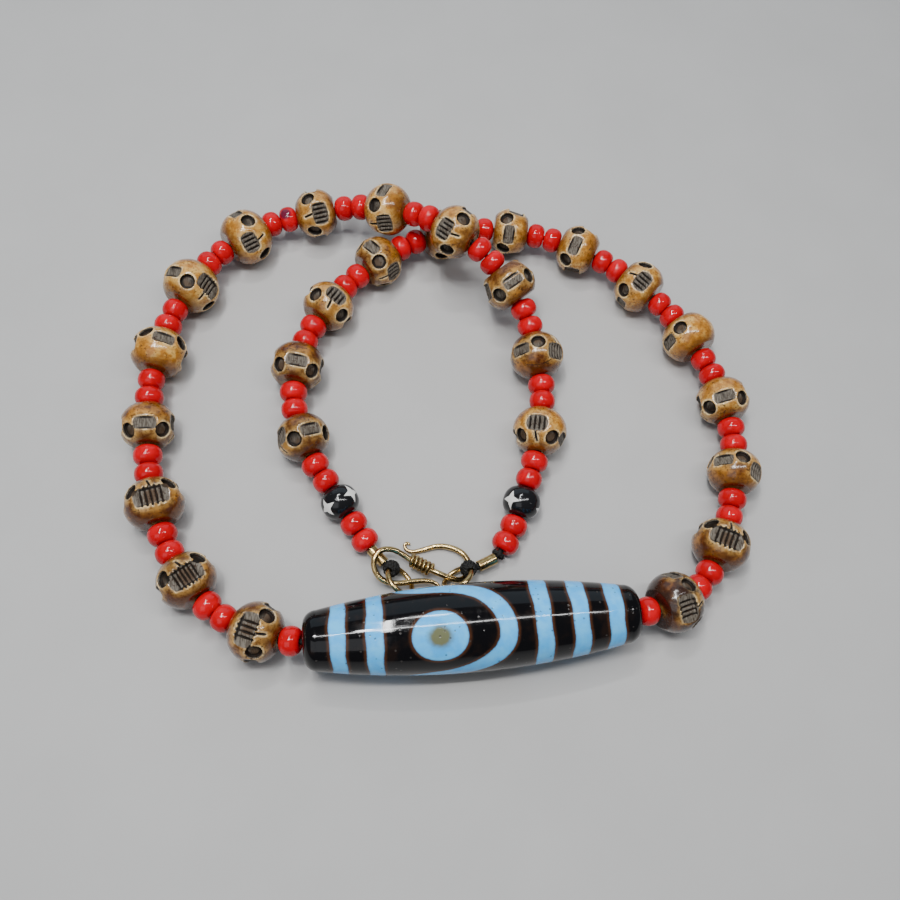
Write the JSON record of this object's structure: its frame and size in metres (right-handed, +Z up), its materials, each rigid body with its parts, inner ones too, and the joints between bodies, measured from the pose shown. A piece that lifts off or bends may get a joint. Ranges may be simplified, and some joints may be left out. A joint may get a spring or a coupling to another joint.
{
  "type": "bead necklace",
  "caption": "Folk necklace with a long banded stone bead, carved bone skull beads and red spacers, fastened by a wire hook and rings.",
  "frame": {"origin": "centre of the bounding box's bottom face, on the surface that the necklace lies on", "axes": "+X along the long patterned bead, +Y from that bead towards the back of the loop, +Z up from the surface"},
  "size_m": [0.1153, 0.0968, 0.0181],
  "materials": {
    "dzi": "polished near-black stone with pale blue-white lines and one eye",
    "bone": null,
    "red_glass": "glossy opaque red glass",
    "black_glaze": "glossy black with white four-pointed stars",
    "thread": "black waxed thread",
    "brass": "aged brass, bright where it is rubbed"
  },
  "bodies": {
    "root": {"dzi_bead": "dzi", "skull_left_01": "bone", "skull_left_02": "bone", "skull_left_03": "bone", "skull_left_04": "bone", "skull_left_05": "bone", "skull_left_06": "bone", "skull_left_07": "bone", "skull_left_08": "bone", "skull_left_09": "bone", "skull_left_10": "bone", "skull_left_11": "bone", "skull_left_12": "bone", "skull_left_13": "bone", "skull_right_01": "bone", "skull_right_02": "bone", "skull_right_03": "bone", "skull_right_04": "bone", "skull_right_05": "bone", "skull_right_06": "bone", "skull_right_07": "bone", "skull_right_08": "bone", "skull_right_09": "bone", "skull_right_10": "bone", "skull_right_11": "bone", "skull_right_12": "bone", "skull_right_13": "bone", "black_bead_left": "black_glaze", "black_bead_right": "black_glaze", "red_beads_left": "red_glass", "red_beads_right": "red_glass", "thread_left": "thread", "thread_right": "thread", "tube_left": "brass", "tube_right": "brass", "stop_knot": "thread", "knot_left": "thread", "knot_right": "thread", "ring_left": "brass", "ring_right": "brass", "hook": "brass", "hook_wrap": "brass"}
  },
  "joints": []
}
